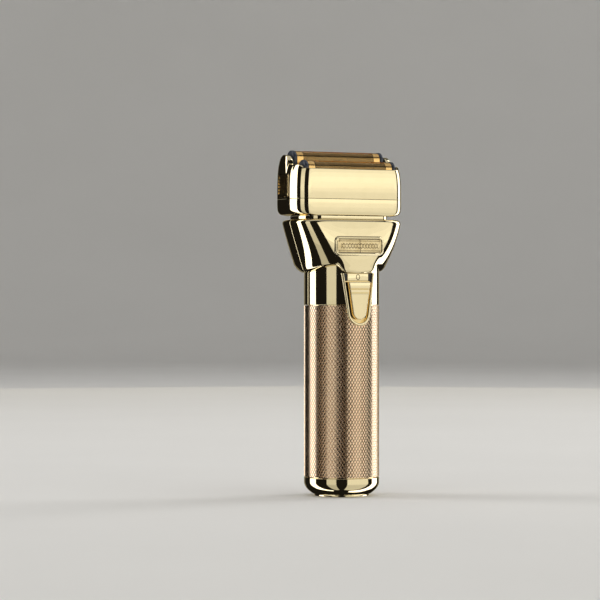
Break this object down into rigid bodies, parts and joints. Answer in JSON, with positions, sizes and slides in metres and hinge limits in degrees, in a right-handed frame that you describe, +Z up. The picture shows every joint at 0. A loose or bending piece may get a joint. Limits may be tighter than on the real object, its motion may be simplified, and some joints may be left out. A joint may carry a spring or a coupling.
{
  "type": "foil shaver",
  "caption": "Cordless twin-foil shaver: knurled tubular grip, flared housing with slide switch, lift-off head with floating foils and a removable battery pack.",
  "frame": {"origin": "middle of the flat foot under the end cap, on the handle's axis", "axes": "+Z up along the handle, towards the foils; front, with the switch and badge, is -Y; +X to the right as seen from behind the object, along the foils"},
  "size_m": [0.0588, 0.0395, 0.164],
  "materials": {
    "gold_chrome": "polished gold-plated metal, mirror-like",
    "satin_gold": "satin rose-gold anodised aluminium with a fine diamond knurl",
    "foil_gold": "thin orange-gold plated foil with fine perforations",
    "foil_end_blue": "dark blue-grey moulded plastic",
    "black_plastic": "black moulded plastic",
    "smoked_plastic": "smoked clear plastic",
    "cell_blue": "blue shrink sleeve on a round cell",
    "clear_ring": "milky light guide",
    "steel": "bright turned steel",
    "magnet_grey": "dull grey sintered magnet",
    "brass_contact": "turned brass",
    "black_rubber": "matt black rubber",
    "white_plastic": "natural acetal",
    "board_green": "green glass-epoxy board"
  },
  "bodies": {
    "root": {"cap_seal": "black_rubber", "grip_sleeve": "satin_gold", "battery_liner": "black_plastic", "contact_carrier": "black_plastic", "centre_contact": "brass_contact", "outer_contact": "brass_contact", "front_housing": "gold_chrome", "rear_housing": "gold_chrome", "switch_bezel": "gold_chrome", "off_marker": "gold_chrome", "slide_switch": "black_plastic", "circuit_board": "board_green", "badge_frame": "gold_chrome", "badge_plate": "gold_chrome", "rear_pad": "black_rubber", "motor_can": "steel", "motor_end_bell": "black_plastic", "motor_magnet": "magnet_grey", "motor_bracket": "steel", "motor_screw_1": "steel", "motor_screw_2": "steel", "drive_guide": "black_plastic", "neck_ring": "gold_chrome", "head_base": "gold_chrome", "seal_plate": "black_rubber", "head_screw_1": "steel", "head_screw_2": "steel"},
    "end_cap": {"end_cap": "gold_chrome"},
    "battery": {"battery_case": "smoked_plastic", "battery_cell": "cell_blue", "battery_light_ring": "clear_ring", "battery_end_plug": "black_plastic", "battery_top_plug": "black_plastic", "battery_pole": "brass_contact"},
    "power_slider": {"power_slider": "gold_chrome"},
    "rotor": {"motor_shaft": "steel", "motor_armature": "steel", "eccentric": "brass_contact"},
    "front_drive": {"front_bridge": "white_plastic", "front_cutter_spring": "steel"},
    "rear_drive": {"rear_bridge": "white_plastic", "rear_cutter_spring": "steel"},
    "front_cutter": {"front_cutter": "steel", "front_cutter_holder": "black_plastic"},
    "rear_cutter": {"rear_cutter": "steel", "rear_cutter_holder": "black_plastic"},
    "foil_frame": {"foil_frame": "gold_chrome"},
    "front_foil": {"front_foil": "foil_gold", "front_foil_end_left": "foil_end_blue", "front_foil_end_right": "foil_end_blue"},
    "rear_foil": {"rear_foil": "foil_gold", "rear_foil_end_left": "foil_end_blue", "rear_foil_end_right": "foil_end_blue"},
    "button_left": {"release_button_left": "gold_chrome"},
    "button_right": {"release_button_right": "gold_chrome"}
  },
  "joints": [
    {"name": "cap_twist", "type": "hinge", "parent": "root", "child": "end_cap", "pos_m": [0, 0, 0.0045], "axis": [0, 0, 1], "range_deg": [0, 40]},
    {"name": "battery_slide", "type": "slide", "parent": "root", "child": "battery", "axis": [0, 0, -1], "range_m": [0, 0.08]},
    {"name": "power_slide", "type": "slide", "parent": "root", "child": "power_slider", "axis": [0, 0, 1], "range_m": [0, 0.004]},
    {"name": "motor_spin", "type": "hinge", "parent": "root", "child": "rotor", "pos_m": [0, 0, 0.105], "axis": [0, 0, 1], "continuous": true},
    {"name": "front_stroke", "type": "slide", "parent": "root", "child": "front_drive", "axis": [1, 0, 0], "range_m": [-0.0012, 0.0012]},
    {"name": "rear_stroke", "type": "slide", "parent": "root", "child": "rear_drive", "axis": [1, 0, 0], "range_m": [-0.0012, 0.0012]},
    {"name": "head_lift", "type": "slide", "parent": "root", "child": "foil_frame", "axis": [0, 0, 1], "range_m": [0, 0.026]},
    {"name": "button_left_press", "type": "slide", "parent": "foil_frame", "child": "button_left", "axis": [1, 0, 0], "range_m": [0, 0.0012], "stiffness_N_per_m": 800, "springref_m": -0.001},
    {"name": "button_right_press", "type": "slide", "parent": "foil_frame", "child": "button_right", "axis": [-1, 0, 0], "range_m": [0, 0.0012], "stiffness_N_per_m": 800, "springref_m": -0.001},
    {"name": "front_foil_float", "type": "slide", "parent": "foil_frame", "child": "front_foil", "axis": [0, 0, -1], "range_m": [0, 0.0012], "stiffness_N_per_m": 400, "springref_m": -0.002},
    {"name": "rear_foil_float", "type": "slide", "parent": "foil_frame", "child": "rear_foil", "axis": [0, 0, -1], "range_m": [0, 0.0012], "stiffness_N_per_m": 400, "springref_m": -0.002},
    {"name": "front_cutter_float", "type": "slide", "parent": "front_drive", "child": "front_cutter", "axis": [0, 0, -1], "range_m": [0, 0.0012], "deforming": ["front_cutter_spring"]},
    {"name": "rear_cutter_float", "type": "slide", "parent": "rear_drive", "child": "rear_cutter", "axis": [0, 0, -1], "range_m": [0, 0.0012], "deforming": ["rear_cutter_spring"]}
  ],
  "couplings": [
    {"joint": "rear_stroke", "follows": "front_stroke", "ratio": -1},
    {"joint": "front_cutter_float", "follows": "front_foil_float", "ratio": 1},
    {"joint": "rear_cutter_float", "follows": "rear_foil_float", "ratio": 1}
  ]
}
